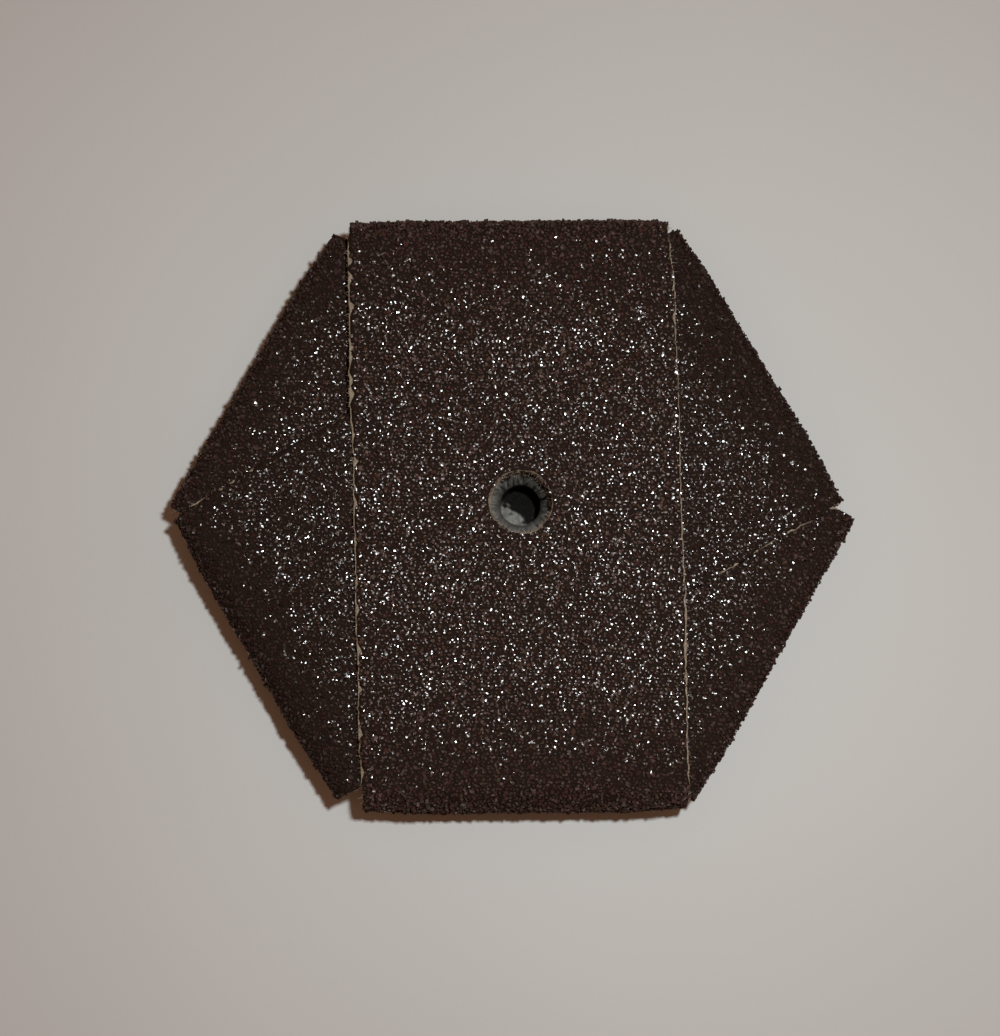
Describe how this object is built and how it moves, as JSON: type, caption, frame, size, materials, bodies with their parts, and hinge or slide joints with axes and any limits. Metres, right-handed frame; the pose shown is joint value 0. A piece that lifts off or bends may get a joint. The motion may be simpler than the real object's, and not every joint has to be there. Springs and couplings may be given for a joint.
{
  "type": "folded abrasive hexagon pad",
  "caption": "Hexagonal abrasive pad of cloth strips folded into crossed flat loops, held by a steel insert with a blind thread that takes a mandrel.",
  "frame": {"origin": "on the spindle axis, on the outer strip's back panel, which is the working face", "axes": "+Z along the spindle axis, out of the thread's mouth towards the spindle; +Y towards one fold of the outer strip; +X along that fold, towards the corner between the other two strips"},
  "size_m": [0.0868, 0.0762, 0.0106],
  "materials": {
    "backing_cloth": "woven cotton, tan, raw cut",
    "abrasive_coat": "coarse crystalline grain in dark brown resin",
    "insert_steel": "dull plated, dusty",
    "washer_steel": "dull plated"
  },
  "bodies": {
    "root": {"outer_strip_cloth": "backing_cloth", "outer_strip_grain": "abrasive_coat", "middle_strip_cloth": "backing_cloth", "middle_strip_grain": "abrasive_coat", "inner_strip_cloth": "backing_cloth", "inner_strip_grain": "abrasive_coat", "threaded_insert": "insert_steel", "back_washer": "washer_steel", "inner_washer": "washer_steel"}
  },
  "joints": []
}
